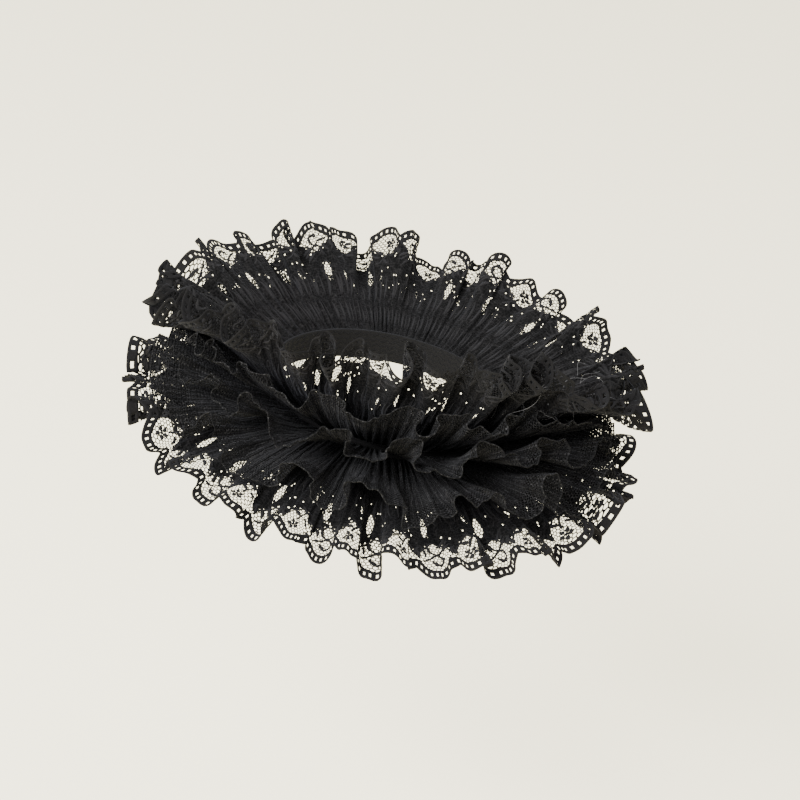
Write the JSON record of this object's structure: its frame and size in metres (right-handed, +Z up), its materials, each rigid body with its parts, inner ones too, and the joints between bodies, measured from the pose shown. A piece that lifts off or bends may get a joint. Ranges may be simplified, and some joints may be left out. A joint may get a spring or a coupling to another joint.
{
  "type": "ruff collar",
  "caption": "Round ruffled neck ruff: gathered black lace and tulle frills sewn round an open elastic neck band.",
  "frame": {"origin": "middle of the neck band, on its axis, where a neck holds the ruff", "axes": "+Z up along the neck, -Y the wearer's front, +X the wearer's left"},
  "size_m": [0.2998, 0.3018, 0.1285],
  "materials": {
    "elastic": "ribbed black elastic",
    "lace": "black corded net lace",
    "tulle": "soft black tulle"
  },
  "bodies": {
    "root": {"neck_band": "elastic", "top_lace_frill": "lace", "upper_tulle_frill": "tulle", "middle_tulle_frill": "tulle", "lower_tulle_frill": "tulle", "bottom_lace_frill": "lace"}
  },
  "joints": []
}
